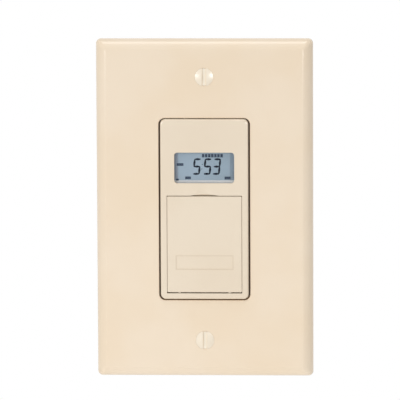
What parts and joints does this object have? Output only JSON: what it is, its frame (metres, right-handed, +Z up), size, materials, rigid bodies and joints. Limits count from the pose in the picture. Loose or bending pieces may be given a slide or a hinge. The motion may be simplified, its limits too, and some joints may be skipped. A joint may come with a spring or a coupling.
{
  "type": "in-wall timer switch",
  "caption": "In-wall timer switch with a display window, a hinged door over programming keys and a battery drawer, and a bevelled cover plate.",
  "frame": {"origin": "midway between the two box screws, on the wall plane at the back of the strap", "axes": "+X right, +Y into the wall along the box screws, +Z up; the face looks along -Y"},
  "size_m": [0.0792, 0.041, 0.1242],
  "materials": {
    "plate_plastic": "glossy almond thermoplastic",
    "plate_screw_paint": "almond painted steel",
    "face_plastic": "satin-gloss almond thermoplastic",
    "door_plastic": "satin-gloss almond thermoplastic",
    "key_plastic": "fine-textured almond thermoplastic",
    "key_grey": "grey thermoplastic",
    "clear_acrylic": "clear acrylic window",
    "display_glass": "reflective liquid-crystal cell, grey-blue",
    "display_frame": "white moulded frame",
    "zebra_rubber": "layered conductive rubber strip",
    "silicone": "translucent grey silicone",
    "pin_steel": "plated steel pin",
    "zinc_steel": "zinc-plated steel sheet",
    "screw_steel": "zinc-plated steel",
    "brass_strip": "spring brass",
    "retainer_card": "pressed fibre card",
    "tray_plastic": "almond thermoplastic",
    "battery_jacket": "shrink-sleeved metal can",
    "board_green": "glass-epoxy laminate with solder mask",
    "chip_black": "moulded epoxy",
    "crystal_can": "nickel-plated can",
    "header_black": "glass-filled nylon",
    "relay_case": "moulded relay case",
    "film_case": "epoxy-filled yellow case",
    "can_sleeve": "sleeved aluminium can",
    "varistor_coat": "blue epoxy coating",
    "resistor_coat": "fusible resistor, cement coated",
    "housing_black": "black flame-retardant thermoplastic"
  },
  "bodies": {
    "timer": {"wall_plate": "plate_plastic", "plate_screws": "plate_screw_paint", "mounting_strap": "zinc_steel", "box_screws": "screw_steel", "screw_retainers": "retainer_card", "timer_bezel": "face_plastic", "display_window": "clear_acrylic", "display_cell": "display_glass", "zebra_strips": "zebra_rubber", "display_holder": "display_frame", "hinge_pins": "pin_steel", "keypad": "silicone", "override_dome": "silicone", "battery_tray": "tray_plastic", "battery_cell": "battery_jacket", "tray_contact_strip": "brass_strip", "contact_springs": "brass_strip", "control_board": "board_green", "control_board_screws": "screw_steel", "control_chip": "chip_black", "clock_crystal": "crystal_can", "board_header": "header_black", "board_header_pins": "brass_strip", "power_board": "board_green", "power_board_screws": "screw_steel", "power_relay": "relay_case", "film_capacitor": "film_case", "supply_capacitor": "can_sleeve", "surge_varistor": "varistor_coat", "fuse_resistor": "resistor_coat", "bridge_rectifier": "chip_black", "rear_housing": "housing_black", "housing_screws": "screw_steel"},
    "door": {"access_door": "door_plastic"},
    "rocker": {"override_rocker": "key_plastic"},
    "mode_key": {"mode_button": "key_plastic"},
    "plus_key": {"plus_button": "key_plastic"},
    "minus_key": {"minus_button": "key_plastic"},
    "reset_key": {"reset_button": "key_grey"}
  },
  "joints": [
    {"name": "override_press", "type": "hinge", "parent": "timer", "child": "rocker", "pos_m": [0, -0.0055, -0.02813], "axis": [-1, 0, 0], "range_deg": [0, 1.3], "stiffness_Nm_per_rad": 0.3, "springref_deg": -1.15, "deforming": ["override_dome"]},
    {"name": "door_open", "type": "hinge", "parent": "rocker", "child": "door", "pos_m": [0, -0.0055, -0.02813], "axis": [1, 0, 0], "range_deg": [0, 100]},
    {"name": "mode_press", "type": "slide", "parent": "timer", "child": "mode_key", "axis": [0, 1, 0], "range_m": [0, 0.0005], "stiffness_N_per_m": 400, "springref_m": -0.0005, "deforming": ["keypad"]},
    {"name": "plus_press", "type": "slide", "parent": "timer", "child": "plus_key", "axis": [0, 1, 0], "range_m": [0, 0.0005], "stiffness_N_per_m": 400, "springref_m": -0.0005, "deforming": ["keypad"]},
    {"name": "minus_press", "type": "slide", "parent": "timer", "child": "minus_key", "axis": [0, 1, 0], "range_m": [0, 0.0005], "stiffness_N_per_m": 400, "springref_m": -0.0005, "deforming": ["keypad"]},
    {"name": "reset_press", "type": "slide", "parent": "timer", "child": "reset_key", "axis": [0, 1, 0], "range_m": [0, 0.0005], "stiffness_N_per_m": 400, "springref_m": -0.0005, "deforming": ["keypad"]}
  ]
}
